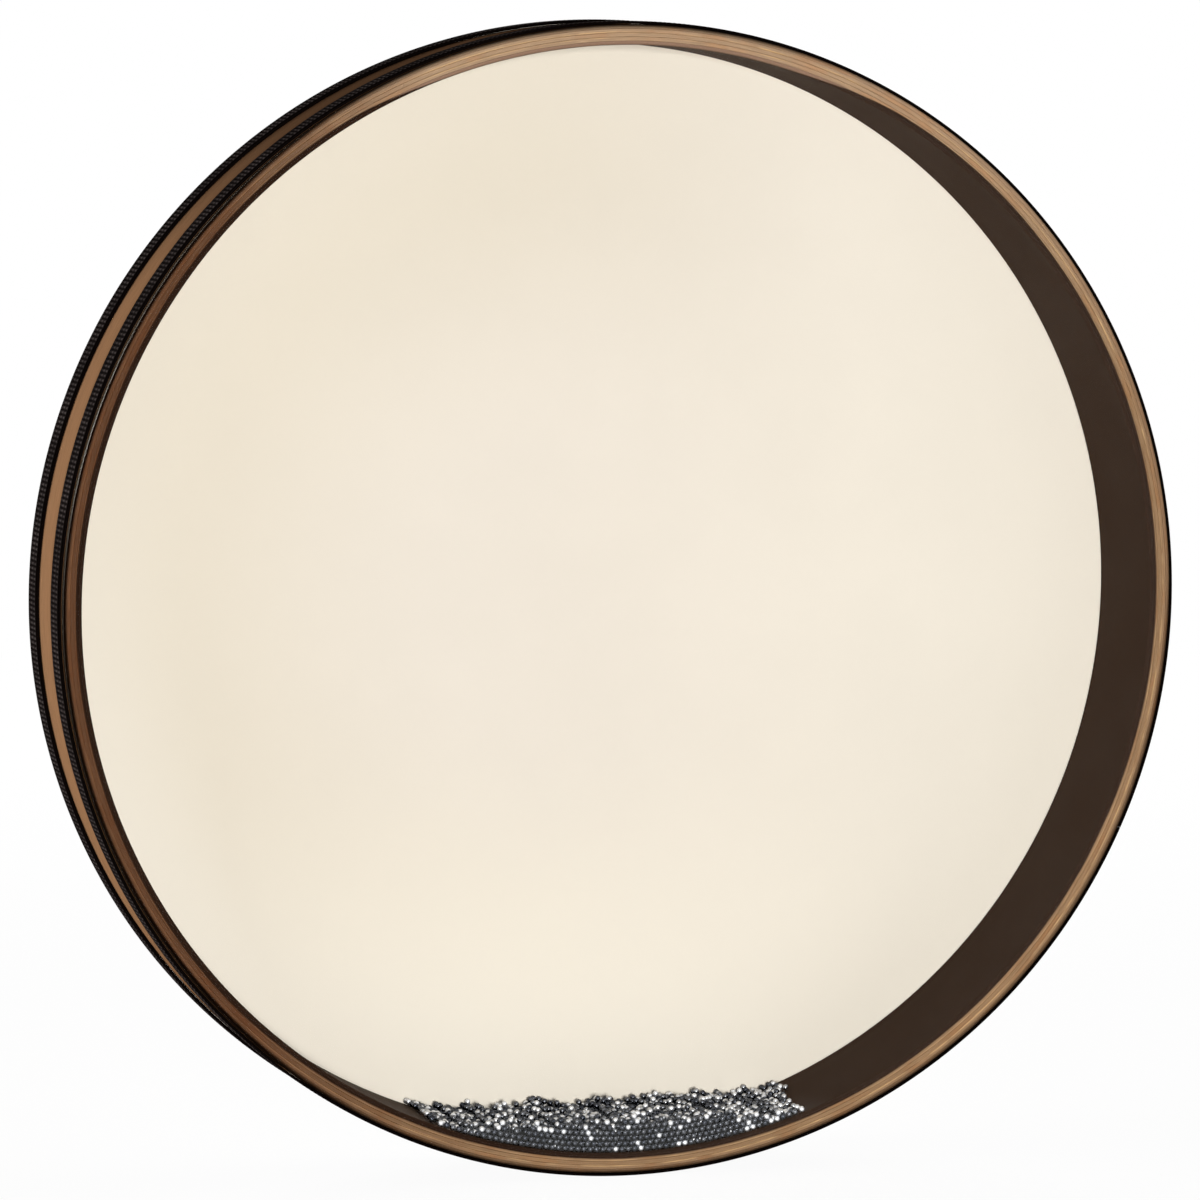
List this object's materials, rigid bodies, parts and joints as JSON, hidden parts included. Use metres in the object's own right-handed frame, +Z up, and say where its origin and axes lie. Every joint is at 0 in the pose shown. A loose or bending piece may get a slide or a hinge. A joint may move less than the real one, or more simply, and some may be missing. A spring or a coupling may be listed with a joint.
{
  "type": "ocean drum",
  "caption": "Shallow round drum standing on edge, with a clear head in front, an opaque head behind, taped rims and loose steel shot that swirls inside.",
  "frame": {"origin": "the point under the middle of the drum, on the surface that it stands on", "axes": "+Z up; the drum's axis runs along Y, from the clear head at -Y to the opaque head at +Y; +X to the right as the clear head is faced"},
  "size_m": [0.562, 0.0732, 0.5621],
  "materials": {
    "outer_wood": "satin lacquered face ply, tan brown",
    "core_wood": "satin, brown edge grain",
    "dark_wood": "satin, darker brown edge grain",
    "lining_wood": "matt, stained dark brown",
    "clear_film": "clear glossy polyester film",
    "cream_film": "opaque cream coated film, satin",
    "woven_tape": "black ribbed woven tape",
    "steel_shot": "bright polished steel balls"
  },
  "bodies": {
    "drum": {"outer_ply": "outer_wood", "second_ply": "core_wood", "middle_ply": "dark_wood", "fourth_ply": "core_wood", "inner_ply": "lining_wood", "front_head": "clear_film", "front_collar": "clear_film", "rear_head": "cream_film", "rear_collar": "cream_film", "front_tape": "woven_tape", "rear_tape": "woven_tape"},
    "front_charge": {"front_shot": "steel_shot", "front_shot_rows": "steel_shot"},
    "middle_charge": {"middle_shot_rows": "steel_shot"},
    "rear_charge": {"rear_shot_rows": "steel_shot"}
  },
  "joints": [
    {"name": "front_swirl", "type": "hinge", "parent": "drum", "child": "front_charge", "pos_m": [0, 0, 0.28105], "axis": [0, 1, 0], "continuous": true},
    {"name": "middle_swirl", "type": "hinge", "parent": "drum", "child": "middle_charge", "pos_m": [0, 0, 0.28105], "axis": [0, 1, 0], "continuous": true},
    {"name": "rear_swirl", "type": "hinge", "parent": "drum", "child": "rear_charge", "pos_m": [0, 0, 0.28105], "axis": [0, 1, 0], "continuous": true}
  ]
}
